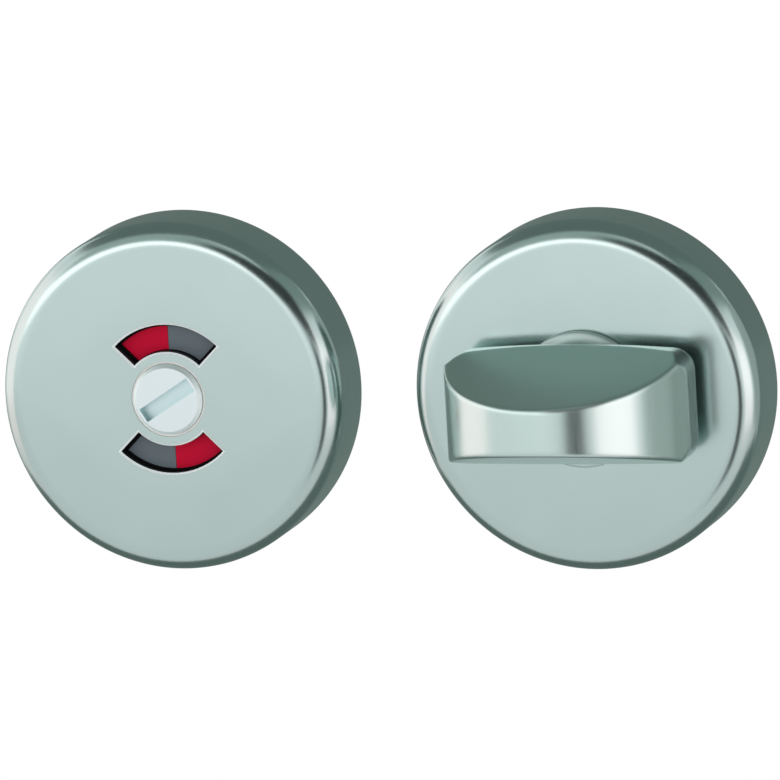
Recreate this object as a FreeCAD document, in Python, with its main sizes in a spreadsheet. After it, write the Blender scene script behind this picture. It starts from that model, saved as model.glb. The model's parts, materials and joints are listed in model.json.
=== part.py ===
"""Bathroom thumb turn lock: an inside rose with a thumb turn, an outside rose with an indicator.

Each piece is modelled with its turning axis along z, the door face at z = 0 and the user towards +z,
as it is seen from the front. Its Placement then turns z to the front of the lock, which is -Y.
"""
import FreeCAD, Part
import Sketcher
import math
import os
import re

V = FreeCAD.Vector
LENGTH_TOLERANCE = 1e-4

# Driving sizes, in millimetres and degrees
SIZES = {
    # Roses and their covers
    "rose_diameter": 52.0,
    "rose_depth": 12.0,
    "rose_spacing": 63.0,
    "cover_wall": 1.3,
    "cover_front": 1.5,
    "cover_edge_radius": 2.0,
    "cover_inner_radius": 0.8,
    "bead_setback": 0.5,
    "bead_width": 0.8,
    "bead_height": 0.35,
    # Under-roses
    "base_play": 0.5,
    "plate_thickness": 2.5,
    "rim_wall": 1.8,
    "rim_height": 7.5,
    "hub_diameter": 29.0,
    "rib_count": 6,
    "rib_thickness": 1.4,
    "rib_height": 6.5,
    "boss_diameter": 10.0,
    "boss_height": 6.0,
    "nose_count": 3,
    "nose_angle": 24.0,
    "nose_width": 1.0,
    "nose_reach": 0.4,
    "nose_play": 0.1,
    # Door screws
    "screw_spacing": 38.0,
    "screw_hole": 4.4,
    "screw_head": 7.0,
    "screw_head_sunk": 0.2,
    "screw_shank": 4.0,
    "screw_thread": 3.5,
    "screw_reach": 18.0,
    "screw_point": 4.0,
    "screw_recess_length": 4.2,
    "screw_recess_width": 1.0,
    "screw_recess_depth": 1.6,
    # Stems of the thumb turn and of the release rotor, and what is stacked on them
    "stem_diameter": 14.0,
    "stem_play": 0.1,
    "stem_setback": 0.4,
    "stem_flats": 12.0,
    "flats_play": 0.05,
    "clip_land": 0.6,
    "clip_thickness": 1.0,
    "clip_play": 0.05,
    "clip_groove": 0.6,
    "clip_width": 1.8,
    "clip_gap_angle": 50.0,
    "clip_lug": 1.5,
    "clip_eye": 0.7,
    "washer_thickness": 1.2,
    "washer_diameter": 20.0,
    "spring_thickness": 0.4,
    "spring_cone": 0.4,
    "spring_play": 0.05,
    "recess_play": 0.6,
    "stop_reach": 2.4,
    "stop_angle": 24.0,
    "stop_play": 0.4,
    "stop_play_angle": 1.5,
    "turn_travel": 90.0,
    # Thumb turn
    "bush_flange": 1.0,
    "bush_wall": 1.3,
    "bush_flange_reach": 2.1,
    "bush_play": 0.1,
    "turn_clearance": 0.3,
    "neck_flange_diameter": 20.0,
    "neck_flange_height": 0.9,
    "neck_diameter": 16.4,
    "neck_radius": 1.2,
    "grip_gap": 3.6,
    "grip_length": 36.2,
    "grip_height": 17.6,
    "grip_crown": 0.8,
    "grip_corner_radius": 3.2,
    "grip_depth": 22.3,
    "grip_end": 5.1,
    "grip_end_lean": 15.0,
    "grip_land": 1.0,
    "grip_front_height": 6.8,
    "grip_edge_radius": 0.45,
    # Spindle
    "spindle_side": 8.0,
    "spindle_reach": 46.0,
    "spindle_chamfer": 0.8,
    "socket_play": 0.06,
    "socket_end_play": 0.2,
    "turn_socket_depth": 10.0,
    "pin_diameter": 2.5,
    "pin_wall": 0.5,
    "pin_slit_angle": 40.0,
    "pin_height": 6.6,
    "pin_recess": 0.3,
    "pin_play": 0.03,
    # Release rotor and indicator
    "disc_gap": 0.4,
    "disc_thickness": 1.5,
    "disc_diameter": 25.2,
    "key_diameter": 12.4,
    "key_flats": 10.8,
    "head_diameter": 10.5,
    "head_proud": 0.7,
    "head_chamfer": 0.5,
    "head_play": 0.35,
    "slot_length": 8.8,
    "slot_width": 2.2,
    "slot_depth": 1.4,
    "slot_angle": 32.0,
    "release_socket_depth": 8.0,
    "window_inside_diameter": 14.0,
    "window_width": 4.05,
    "window_angle": 90.0,
    "window_chamfer": 0.3,
    "field_angle": 90.0,
    "field_thickness": 0.6,
    "field_margin": 0.6,
    "field_play": 0.05,
    "field_play_angle": 0.4,
    # How far a cut runs past the surface it cuts
    "cut_margin": 1.0,
}

# Radii and heights worked out from the driving sizes
ROSE_RADIUS = "(rose_diameter / 2)"
COVER_BORE = "(rose_diameter / 2 - cover_wall)"
COVER_INSIDE = "(rose_depth - cover_front)"
BEAD_FRONT = "(bead_setback + bead_width)"
BASE_RADIUS = "(rose_diameter / 2 - cover_wall - base_play)"
RIM_BORE = f"({BASE_RADIUS} - rim_wall)"
HUB_RADIUS = "(hub_diameter / 2)"
STEM_RADIUS = "(stem_diameter / 2)"
STEM_BORE = "(stem_diameter / 2 + stem_play)"
GROOVE_RADIUS = "(stem_diameter / 2 - clip_groove)"
CLIP_BORE = f"({GROOVE_RADIUS} + clip_play)"
CLIP_RADIUS = f"({CLIP_BORE} + clip_width)"
CLIP_BACK = "(stem_setback + clip_land)"
WASHER_BACK = f"({CLIP_BACK} + clip_thickness + 2 * clip_play)"
WASHER_FRONT = f"({WASHER_BACK} + washer_thickness)"
SPRING_HEIGHT = "(spring_thickness + spring_cone)"
RECESS_FRONT = f"({WASHER_FRONT} + {SPRING_HEIGHT} + 2 * spring_play)"
WASHER_RADIUS = "(washer_diameter / 2)"
RECESS_RADIUS = f"({WASHER_RADIUS} + recess_play)"
STOP_RADIUS = f"({WASHER_RADIUS} + stop_reach)"
STOP_DIRECTION = 180
FIELD_DIRECTION = 135
BUSH_RADIUS = f"({STEM_BORE} + bush_wall)"
TURN_HOLE = f"({BUSH_RADIUS} + bush_play)"
TURN_HUB_FRONT = f"({COVER_INSIDE} - bush_flange)"
NECK_BACK = "(rose_depth + turn_clearance)"
GRIP_BACK = "(rose_depth + grip_gap)"
GRIP_FOOT = f"({GRIP_BACK} + grip_end)"
GRIP_FRONT = f"({GRIP_BACK} + grip_depth)"
GRIP_SLOPE = "((grip_height - grip_front_height) / 2 / (grip_depth - grip_land))"
TURN_SOCKET_END = "(stem_setback + turn_socket_depth)"
DISC_FRONT = f"({COVER_INSIDE} - disc_gap)"
DISC_BACK = f"({DISC_FRONT} - disc_thickness)"
RELEASE_HUB_FRONT = f"({DISC_BACK} - disc_gap)"
HEAD_RADIUS = "(head_diameter / 2)"
HEAD_FRONT = "(rose_depth + head_proud)"
RELEASE_HOLE = f"({HEAD_RADIUS} + head_play)"
WINDOW_INSIDE = "(window_inside_diameter / 2)"
WINDOW_OUTSIDE = f"({WINDOW_INSIDE} + window_width)"
SCREW_TOP = "(boss_height - screw_head_sunk)"

NAME = re.compile(r"[a-z][a-z_]+")
UPRIGHT = FreeCAD.Rotation(V(1, 0, 0), 90)
INSIDE = "0"
OUTSIDE = "-rose_spacing"

doc = FreeCAD.newDocument("ThumbTurnLock")
sheet = doc.addObject("Spreadsheet::Sheet", "Sizes")
for row, (size_name, size) in enumerate(SIZES.items(), 1):
    sheet.set(f"A{row}", size_name)
    sheet.set(f"B{row}", str(size))
    sheet.setAlias(f"B{row}", size_name)
doc.recompute()


# Formulas over the sheet's names

def formula(text):
    """The expression for a formula, with the sheet named in front of each size."""
    def named(found):
        word = found.group()
        return "Sizes." + word if word in SIZES else word
    return NAME.sub(named, str(text))


def number(text):
    """The value of a formula at the sheet's present sizes."""
    filled = NAME.sub(lambda found: str(SIZES.get(found.group(), found.group())), str(text))
    return FreeCAD.Units.Quantity(filled).Value


def bind(feature, prop, text):
    """Tie a property to a formula."""
    feature.setExpression(prop, formula(text))


# Sketches

def new_body(label, across=INSIDE):
    """A body with its own label, standing on one of the two rose axes."""
    body = doc.addObject("PartDesign::Body", label)
    body.Label = label
    body.AllowCompound = True
    body.Placement = FreeCAD.Placement(V(number(across), 0, 0), UPRIGHT)
    bind(body, "Placement.Base.x", across)
    return body


def origin_feature(body, role):
    """The body's own plane or axis of that role."""
    return next(feature for feature in body.Origin.OriginFeatures if feature.Role == role)


def new_sketch(body, role, height="0", across="0", turned="0"):
    """A sketch on one of the body's planes, lifted along its normal, shifted and turned in it."""
    sketch = body.newObject("Sketcher::SketchObject", body.Label + "_sketch")
    sketch.AttachmentSupport = (origin_feature(body, role), "")
    sketch.MapMode = "FlatFace"
    turn = FreeCAD.Rotation(V(0, 0, 1), number(turned))
    sketch.AttachmentOffset = FreeCAD.Placement(V(number(across), 0, number(height)), turn)
    bind(sketch, "AttachmentOffset.Base.x", across)
    bind(sketch, "AttachmentOffset.Base.z", height)
    if turned != "0":
        bind(sketch, "AttachmentOffset.Rotation.Angle", turned)
    return sketch


def tie(sketch, kind, references, text):
    """A dimension whose value is a formula."""
    value = number(text)
    if kind == "Angle":
        value = math.radians(value)
    index = sketch.addConstraint(Sketcher.Constraint(kind, *references, value))
    bind(sketch, f"Constraints[{index}]", text)


def join(sketch, *pairs):
    """Make pairs of points coincide, each pair as geometry, end, geometry, end."""
    for pair in pairs:
        sketch.addConstraint(Sketcher.Constraint("Coincident", *pair))


def place_point(sketch, geometry, end, x, y):
    """Dimension a point from the sketch's origin."""
    for text, kind, axis in ((x, "DistanceX", -2), (y, "DistanceY", -1)):
        if text == "0":
            sketch.addConstraint(Sketcher.Constraint("PointOnObject", geometry, end, axis))
        else:
            tie(sketch, kind, (-1, 1, geometry, end), text)


def line(sketch, start, end):
    """A line between two points given as formulas, not yet dimensioned."""
    points = [V(number(x), number(y)) for x, y in (start, end)]
    return sketch.addGeometry(Part.LineSegment(*points))


def polygon(sketch, corners):
    """A closed outline of straight lines, each corner dimensioned."""
    lines = [line(sketch, *ends) for ends in zip(corners, corners[1:] + corners[:1])]
    for this, following, corner in zip(lines, lines[1:] + lines[:1], corners):
        join(sketch, (this, 2, following, 1))
        place_point(sketch, this, 1, *corner)
    return sketch


def rectangle(sketch, half_width, half_height, x="0"):
    """A rectangle centred on the sketch's x axis."""
    left = f"{x} - ({half_width})"
    right = f"{x} + {half_width}"
    low = f"-({half_height})"
    return polygon(sketch, [(left, low), (right, low), (right, half_height), (left, half_height)])


def circle(sketch, radius, x="0", y="0"):
    """A dimensioned circle."""
    ring = sketch.addGeometry(Part.Circle(V(number(x), number(y)), V(0, 0, 1), number(radius)))
    place_point(sketch, ring, 3, x, y)
    tie(sketch, "Radius", (ring,), radius)
    return sketch


def centred_arc(sketch, radius, start, end):
    """An arc about the sketch's origin between two directions in degrees."""
    ring = Part.Circle(V(), V(0, 0, 1), number(radius))
    arc = sketch.addGeometry(Part.ArcOfCircle(ring, math.radians(start), math.radians(end)))
    join(sketch, (arc, 3, -1, 1))
    tie(sketch, "Radius", (arc,), radius)
    return arc


def sector(sketch, inner, outer, start, end):
    """A ring's sector between two directions in degrees, given as formulas."""
    angles = (number(start), number(end))
    low = centred_arc(sketch, inner, *angles)
    high = centred_arc(sketch, outer, *angles)
    for point, direction, degrees in ((1, start, angles[0]), (2, end, angles[1])):
        ray = V(math.cos(math.radians(degrees)), math.sin(math.radians(degrees)))
        side = sketch.addGeometry(Part.LineSegment(ray * number(inner), ray * number(outer)))
        join(sketch, (low, point, side, 1), (high, point, side, 2))
        sketch.addConstraint(Sketcher.Constraint("PointOnObject", -1, 1, side))
        tie(sketch, "Angle", (side,), direction)
    return sketch


def double_flat(sketch, radius, across_flats):
    """A round section with two flats, left and right."""
    half = f"({across_flats}) / 2"
    corner = math.degrees(math.acos(number(half) / number(radius)))
    top = centred_arc(sketch, radius, corner, 180 - corner)
    bottom = centred_arc(sketch, radius, 180 + corner, 360 - corner)
    rise = math.sqrt(number(radius) ** 2 - number(half) ** 2)
    for side, (low, low_end), (high, high_end) in (
        (half, (bottom, 2), (top, 1)),
        (f"-{half}", (bottom, 1), (top, 2)),
    ):
        flat = line(sketch, (side, -rise), (side, rise))
        join(sketch, (flat, 1, low, low_end), (flat, 2, high, high_end))
        sketch.addConstraint(Sketcher.Constraint("Vertical", flat))
        tie(sketch, "DistanceX", (-1, 1, flat, 1), side)
    return sketch


# Features

def add_feature(body, kind, sketch):
    """A feature of the body made from a sketch."""
    feature = body.newObject("PartDesign::" + kind, body.Label + "_" + kind.lower())
    feature.Profile = sketch
    return feature


def revolve(body, corners, kind="Revolution", across="0"):
    """Turn a profile of radius and height pairs about z, or about a line beside it."""
    role = "YZ_Plane" if across != "0" else "XZ_Plane"
    sketch = polygon(new_sketch(body, role, across=across), corners)
    feature = add_feature(body, kind, sketch)
    feature.ReferenceAxis = (sketch, ["V_Axis"])
    feature.Angle = 360
    return feature


def pad(body, sketch, length, side="One side"):
    """Extrude a sketch along its normal."""
    feature = add_feature(body, "Pad", sketch)
    feature.SideType = side
    bind(feature, "Length", length)
    return feature


def pocket(body, sketch, length, upwards=False):
    """Cut a sketch down into the body, or upwards from its back."""
    feature = add_feature(body, "Pocket", sketch)
    feature.Reversed = upwards
    bind(feature, "Length", length)
    return feature


def cut_across(body, sketch):
    """Cut a sketch right through the body, to both sides of its plane."""
    feature = add_feature(body, "Pocket", sketch)
    feature.SideType = "Symmetric"
    feature.Type = "ThroughAll"
    return feature


def repeat_around(body, originals, count):
    """Repeat features evenly about z."""
    pattern = body.newObject("PartDesign::PolarPattern", body.Label + "_pattern")
    pattern.Originals = originals
    pattern.Axis = (origin_feature(body, "Z_Axis"), [""])
    pattern.Angle = 360
    bind(pattern, "Occurrences", count)
    body.Tip = pattern
    return pattern


def dress(body, kind, prop, size, chosen):
    """Fillet or chamfer the chosen edges of the body's last feature."""
    doc.recompute()
    base = body.Tip
    names = [f"Edge{place}" for place, edge in enumerate(base.Shape.Edges, 1) if chosen(edge)]
    feature = body.newObject("PartDesign::" + kind, body.Label + "_" + kind.lower())
    feature.Base = (base, names)
    bind(feature, prop, size)
    return feature


def fillet(body, radius, chosen):
    """Round the chosen edges."""
    return dress(body, "Fillet", "Radius", radius, chosen)


def chamfer(body, size, chosen):
    """Bevel the chosen edges."""
    return dress(body, "Chamfer", "Size", size, chosen)


def same(one, other):
    """Whether two lengths agree."""
    return abs(one - other) < LENGTH_TOLERANCE


def middle_of(edge):
    """The point halfway along an edge."""
    return edge.valueAt((edge.FirstParameter + edge.LastParameter) / 2)


def upright(edge):
    """Picks the straight edges along z."""
    return isinstance(edge.Curve, Part.Line) and same(edge.BoundBox.ZLength, edge.Length)


def ring_edge(radius, height):
    """Picks the round edges of that radius about z at that height."""
    def chosen(edge):
        curve = edge.Curve
        if not isinstance(curve, Part.Circle):
            return False
        on_axis = same(math.hypot(curve.Center.x, curve.Center.y), 0)
        return on_axis and same(curve.Radius, number(radius)) and same(curve.Center.z, number(height))
    return chosen


def edge_in_plane(height):
    """Picks the edges that lie flat at that height."""
    return lambda edge: same(edge.BoundBox.ZMin, number(height)) and same(edge.BoundBox.ZMax, number(height))


# Covers

def rose_cover(label, across, hole):
    """A turned cup with a rounded front edge, a centre hole and a snap bead inside its skirt."""
    body = new_body(label, across)
    revolve(body, [
        (ROSE_RADIUS, "0"),
        (ROSE_RADIUS, "rose_depth"),
        (hole, "rose_depth"),
        (hole, COVER_INSIDE),
        (COVER_BORE, COVER_INSIDE),
        (COVER_BORE, BEAD_FRONT),
        (f"{COVER_BORE} - bead_height", "bead_setback + bead_width / 2"),
        (COVER_BORE, "bead_setback"),
        (COVER_BORE, "0"),
    ])
    fillet(body, "cover_edge_radius", ring_edge(ROSE_RADIUS, "rose_depth"))
    fillet(body, "cover_inner_radius", ring_edge(COVER_BORE, COVER_INSIDE))
    return body


def indicator_windows(body):
    """Two arc windows above and below the release head, with bevelled front edges."""
    start = "90 - window_angle / 2"
    end = "90 + window_angle / 2"
    outline = sector(new_sketch(body, "XY_Plane", "rose_depth"), WINDOW_INSIDE, WINDOW_OUTSIDE, start, end)
    window = pocket(body, outline, "cover_front")
    repeat_around(body, [window], "2")

    def window_edge(edge):
        distance = math.hypot(middle_of(edge).x, middle_of(edge).y)
        beyond_inside = distance > number(WINDOW_INSIDE) - LENGTH_TOLERANCE
        within_outside = distance < number(WINDOW_OUTSIDE) + LENGTH_TOLERANCE
        return beyond_inside and within_outside and edge_in_plane("rose_depth")(edge)

    chamfer(body, "window_chamfer", window_edge)


# Under-roses

def rose_base(label, across, hub_front):
    """A moulded under-rose: plate, rim and hub with ribs, screw bosses, snap noses and a stop recess."""
    body = new_body(label, across)
    boss_sketch = new_sketch(body, "XY_Plane", "plate_thickness / 2")
    hole_sketch = new_sketch(body, "XY_Plane", "boss_height")
    for place in ("screw_spacing / 2", "-screw_spacing / 2"):
        circle(boss_sketch, "boss_diameter / 2", y=place)
        circle(hole_sketch, "screw_hole / 2", y=place)
    pad(body, boss_sketch, "boss_height - plate_thickness / 2")
    # Bosses that would stand out past the rim are cut back to it
    revolve(body, [
        (BASE_RADIUS, "0"),
        (f"{BASE_RADIUS} + boss_diameter", "0"),
        (f"{BASE_RADIUS} + boss_diameter", "boss_height + cut_margin"),
        (BASE_RADIUS, "boss_height + cut_margin"),
    ], kind="Groove")
    revolve(body, [
        (STEM_BORE, RECESS_FRONT),
        (STEM_BORE, hub_front),
        (HUB_RADIUS, hub_front),
        (HUB_RADIUS, "plate_thickness"),
        (RIM_BORE, "plate_thickness"),
        (RIM_BORE, "rim_height"),
        (BASE_RADIUS, "rim_height"),
        (BASE_RADIUS, "0"),
        (RECESS_RADIUS, "0"),
        (RECESS_RADIUS, RECESS_FRONT),
    ])
    rib_half = f"({RIM_BORE} - {HUB_RADIUS} + rim_wall) / 2"
    rib_middle = f"({RIM_BORE} + {HUB_RADIUS}) / 2"
    rib_sketch = new_sketch(body, "XY_Plane", "plate_thickness / 2")
    rectangle(rib_sketch, rib_half, "rib_thickness / 2", rib_middle)
    rib = pad(body, rib_sketch, "rib_height - plate_thickness / 2")
    repeat_around(body, [rib], "rib_count")

    doc.recompute()
    hole = add_feature(body, "Hole", hole_sketch)
    hole.DepthType = "ThroughAll"
    hole.HoleCutType = "Countersink"
    hole.HoleCutCustomValues = True
    hole.HoleCutCountersinkAngle = 90
    bind(hole, "Diameter", "screw_hole")
    bind(hole, "HoleCutDiameter", "screw_head + 2 * screw_head_sunk + (screw_hole - screw_shank)")

    nose_sketch = new_sketch(body, "XY_Plane", f"{BEAD_FRONT} + nose_play")
    nose_inside = f"{BASE_RADIUS} - rim_wall / 2"
    nose_outside = f"{BASE_RADIUS} + nose_reach"
    sector(nose_sketch, nose_inside, nose_outside, "-nose_angle / 2", "nose_angle / 2")
    nose = pad(body, nose_sketch, "nose_width")
    repeat_around(body, [nose], "nose_count")

    reach = "(turn_travel / 2 + stop_angle / 2 + stop_play_angle)"
    stop_inside = f"{RECESS_RADIUS} - recess_play"
    stop_outside = f"{STOP_RADIUS} + stop_play"
    start = f"{STOP_DIRECTION} - {reach}"
    end = f"{STOP_DIRECTION} + {reach}"
    stop_sketch = sector(new_sketch(body, "XY_Plane"), stop_inside, stop_outside, start, end)
    pocket(body, stop_sketch, RECESS_FRONT, upwards=True)
    return body


def door_screws(label, across):
    """Two countersunk screws whose threads go into the door."""
    body = new_body(label, across)
    head = "(screw_head / 2)"
    shank = "(screw_shank / 2)"
    thread = "(screw_thread / 2)"
    screw = revolve(body, [
        ("0", SCREW_TOP),
        (head, SCREW_TOP),
        (shank, f"{SCREW_TOP} - {head} + {shank}"),
        (shank, "0"),
        (thread, "0"),
        (thread, "screw_point - screw_reach"),
        ("0", "-screw_reach"),
    ], across="screw_spacing / 2")
    long = "screw_recess_length / 2"
    short = "screw_recess_width / 2"
    cross = [
        (long, short), (short, short), (short, long),
        (f"-{short}", long), (f"-{short}", short), (f"-{long}", short),
        (f"-{long}", f"-{short}"), (f"-{short}", f"-{short}"), (f"-{short}", f"-{long}"),
        (short, f"-{long}"), (short, f"-{short}"), (long, f"-{short}"),
    ]
    centred = [(x, f"screw_spacing / 2 + {y}") for x, y in cross]
    drive = pocket(body, polygon(new_sketch(body, "XY_Plane", SCREW_TOP), centred), "screw_recess_depth")
    repeat_around(body, [screw, drive], "2")
    return body


# What is stacked on each stem, behind the hub

def spring_washer(label, across):
    """A conical spring washer between the hub and the stop washer."""
    body = new_body(label, across)
    inner = STEM_BORE
    low = f"{WASHER_FRONT} + spring_play"
    revolve(body, [
        (inner, f"{low} + spring_cone"),
        (WASHER_RADIUS, low),
        (WASHER_RADIUS, f"{low} + spring_thickness"),
        (inner, f"{low} + {SPRING_HEIGHT}"),
    ])
    return body


def stop_washer(label, across, direction):
    """A washer keyed to the stem's flats, with a nose that runs in the hub's stop recess."""
    body = new_body(label, across)
    ring = circle(new_sketch(body, "XY_Plane", WASHER_BACK), WASHER_RADIUS)
    pad(body, ring, "washer_thickness")
    nose = new_sketch(body, "XY_Plane", WASHER_BACK)
    start = f"{direction} - stop_angle / 2"
    end = f"{direction} + stop_angle / 2"
    sector(nose, f"{WASHER_RADIUS} - stop_reach", STOP_RADIUS, start, end)
    pad(body, nose, "washer_thickness")
    keyhole = new_sketch(body, "XY_Plane", WASHER_FRONT)
    double_flat(keyhole, f"{STEM_RADIUS} + flats_play", "stem_flats + 2 * flats_play")
    pocket(body, keyhole, "washer_thickness")
    return body


def circlip(label, across):
    """A retaining ring with two eyed lugs, sprung into the stem's groove."""
    body = new_body(label, across)
    back = f"{CLIP_BACK} + clip_play"
    start = "clip_gap_angle / 2 - 90"
    end = "270 - clip_gap_angle / 2"
    ring = sector(new_sketch(body, "XY_Plane", back), CLIP_BORE, CLIP_RADIUS, start, end)
    pad(body, ring, "clip_thickness")
    for direction in (start, end):
        lug = circle(new_sketch(body, "XY_Plane", back, turned=direction), "clip_lug", CLIP_RADIUS)
        pad(body, lug, "clip_thickness")
    for direction in (start, end):
        eye = circle(new_sketch(body, "XY_Plane", back, turned=direction), "clip_eye", CLIP_RADIUS)
        pocket(body, eye, "clip_thickness", upwards=True)
    return body


def stem_end(body, socket_depth):
    """The back of a stem: two flats for the stop washer, the circlip's groove and the square socket."""
    flats = double_flat(new_sketch(body, "XY_Plane", "stem_setback"), STEM_RADIUS, "stem_flats")
    pad(body, flats, f"{WASHER_FRONT} - stem_setback")
    revolve(body, [
        (GROOVE_RADIUS, CLIP_BACK),
        (f"{STEM_RADIUS} + cut_margin", CLIP_BACK),
        (f"{STEM_RADIUS} + cut_margin", WASHER_BACK),
        (GROOVE_RADIUS, WASHER_BACK),
    ], kind="Groove")
    half = "(spindle_side / 2 + socket_play)"
    socket = rectangle(new_sketch(body, "XY_Plane", "stem_setback"), half, half)
    pocket(body, socket, socket_depth, upwards=True)


# Thumb turn

def grip_outline(sketch):
    """The grip from the front: straight ends, slightly crowned top and bottom."""
    end = "(grip_length / 2)"
    low = "(grip_height / 2 - grip_crown)"
    crown = f"({end} * {end} + grip_crown * grip_crown) / (2 * grip_crown)"
    right = line(sketch, (end, f"-{low}"), (end, low))
    left = line(sketch, (f"-{end}", low), (f"-{end}", f"-{low}"))
    corners = [V(number(x), number(y)) for x, y in ((end, low), (f"-{end}", low))]
    top = V(0, number("grip_height / 2"))
    upper = sketch.addGeometry(Part.Arc(corners[0], top, corners[1]))
    lower = sketch.addGeometry(Part.Arc(-corners[0], -top, -corners[1]))
    join(sketch, (right, 2, upper, 1), (upper, 2, left, 1), (left, 2, lower, 1), (lower, 2, right, 1))
    place_point(sketch, right, 1, end, f"-{low}")
    place_point(sketch, right, 2, end, low)
    place_point(sketch, left, 1, f"-{end}", low)
    place_point(sketch, left, 2, f"-{end}", f"-{low}")
    for arc in (upper, lower):
        tie(sketch, "Radius", (arc,), crown)
    return sketch


def bow_circle():
    """Radius and centre height of the bow, which runs smoothly into a leaning flank at each end."""
    lean = math.radians(number("grip_end_lean"))
    end = number("grip_length / 2")
    rise = number("grip_depth - grip_end")
    radius = (end * math.cos(lean) - rise * math.sin(lean)) / (1 - math.sin(lean))
    return radius, number(GRIP_FRONT) - radius


def grip_plan(sketch):
    """What is cut away in front of the grip's bow and flanks, seen from above."""
    end = "(grip_length / 2)"
    outer = f"({end} + cut_margin)"
    front = f"({GRIP_FRONT} + 2 * cut_margin)"
    corners = [
        (f"-{end}", GRIP_FOOT), (f"-{outer}", GRIP_FOOT), (f"-{outer}", front),
        (outer, front), (outer, GRIP_FOOT), (end, GRIP_FOOT),
    ]
    lines = [line(sketch, *ends) for ends in zip(corners, corners[1:])]
    for this, following in zip(lines, lines[1:]):
        join(sketch, (this, 2, following, 1))
    for this, corner in zip(lines, corners):
        place_point(sketch, this, 1, *corner)
    place_point(sketch, lines[-1], 2, *corners[-1])

    radius, centre = bow_circle()
    lean = math.radians(number("grip_end_lean"))
    across = radius * math.cos(lean)
    forward = centre + radius * math.sin(lean)
    right = line(sketch, corners[-1], (across, forward))
    left = line(sketch, (-across, forward), corners[0])
    top = V(0, number(GRIP_FRONT))
    bow = sketch.addGeometry(Part.Arc(V(across, forward), top, V(-across, forward)))
    join(sketch, (lines[-1], 2, right, 1), (left, 2, lines[0], 1))
    sketch.addConstraint(Sketcher.Constraint("Tangent", right, 2, bow, 1))
    sketch.addConstraint(Sketcher.Constraint("Tangent", bow, 2, left, 1))
    sketch.addConstraint(Sketcher.Constraint("PointOnObject", bow, 3, -2))
    tie(sketch, "Angle", (right,), "90 + grip_end_lean")
    summit = sketch.addGeometry(Part.Point(top))
    sketch.addConstraint(Sketcher.Constraint("PointOnObject", summit, 1, bow))
    place_point(sketch, summit, 1, "0", GRIP_FRONT)
    return sketch


def grip_slopes(body):
    """Cut the sloping top and bottom of the grip, seen from the side."""
    sketch = new_sketch(body, "YZ_Plane")
    for side in ("", "-"):
        polygon(sketch, [
            (f"{side}(grip_height / 2 + cut_margin * {GRIP_SLOPE})", f"{GRIP_BACK} + grip_land - cut_margin"),
            (f"{side}grip_front_height / 2", GRIP_FRONT),
            (f"{side}grip_front_height / 2", f"{GRIP_FRONT} + 2 * cut_margin"),
            (f"{side}(grip_height / 2 + 2 * cut_margin)", f"{GRIP_FRONT} + 2 * cut_margin"),
            (f"{side}(grip_height / 2 + 2 * cut_margin)", f"{GRIP_BACK} + grip_land - cut_margin"),
        ])
    cut_across(body, sketch)


def on_bow(edge):
    """Picks the edges along the grip's bow and flanks, apart from its upright ends."""
    radius, centre = bow_circle()
    lean = math.radians(number("grip_end_lean"))
    across = abs(middle_of(edge).x)
    forward = middle_of(edge).z - centre
    on_arc = same(math.hypot(across, forward), radius)
    on_flank = same(across * math.cos(lean) + forward * math.sin(lean), radius)
    return (on_arc or on_flank) and middle_of(edge).z > number(GRIP_FOOT) + LENGTH_TOLERANCE


def on_slope(edge):
    """Picks the edges that lie in the grip's sloping top or bottom."""
    forward = middle_of(edge).z - number(f"{GRIP_BACK} + grip_land")
    return same(abs(middle_of(edge).y), number("grip_height / 2") - number(GRIP_SLOPE) * forward)


def thumb_turn():
    """The bowed grip with its flared neck and stem, cast in one."""
    body = new_body("thumb_turn")
    outline = grip_outline(new_sketch(body, "XY_Plane", GRIP_BACK))
    pad(body, outline, "grip_depth + cut_margin")
    fillet(body, "grip_corner_radius", upright)
    cut_across(body, grip_plan(new_sketch(body, "XZ_Plane")))
    grip_slopes(body)
    fillet(body, "grip_edge_radius", lambda edge: on_bow(edge) and not on_slope(edge))
    fillet(body, "grip_edge_radius", lambda edge: on_bow(edge) and on_slope(edge))
    fillet(body, "grip_edge_radius", edge_in_plane(GRIP_BACK))
    neck = "(neck_diameter / 2)"
    flange = "(neck_flange_diameter / 2)"
    revolve(body, [
        ("0", WASHER_FRONT),
        (STEM_RADIUS, WASHER_FRONT),
        (STEM_RADIUS, NECK_BACK),
        (flange, NECK_BACK),
        (flange, f"{NECK_BACK} + neck_flange_height"),
        (neck, f"{NECK_BACK} + neck_flange_height"),
        (neck, f"{GRIP_BACK} + cut_margin"),
        ("0", f"{GRIP_BACK} + cut_margin"),
    ])
    fillet(body, "neck_radius", ring_edge(neck, f"{NECK_BACK} + neck_flange_height"))
    stem_end(body, "turn_socket_depth")
    pin_hole = circle(new_sketch(body, "XZ_Plane"), "pin_diameter / 2 + pin_play", y="pin_height")
    crossing = pocket(body, pin_hole, "stem_diameter")
    crossing.SideType = "Symmetric"
    return body


def thumb_turn_bush():
    """A flanged bush, held between hub and cover, that guides the stem in the cover's hole."""
    body = new_body("thumb_turn_bush")
    flange = f"{BUSH_RADIUS} + bush_flange_reach"
    revolve(body, [
        (STEM_BORE, TURN_HUB_FRONT),
        (flange, TURN_HUB_FRONT),
        (flange, COVER_INSIDE),
        (BUSH_RADIUS, COVER_INSIDE),
        (BUSH_RADIUS, "rose_depth"),
        (STEM_BORE, "rose_depth"),
    ])
    return body


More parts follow.
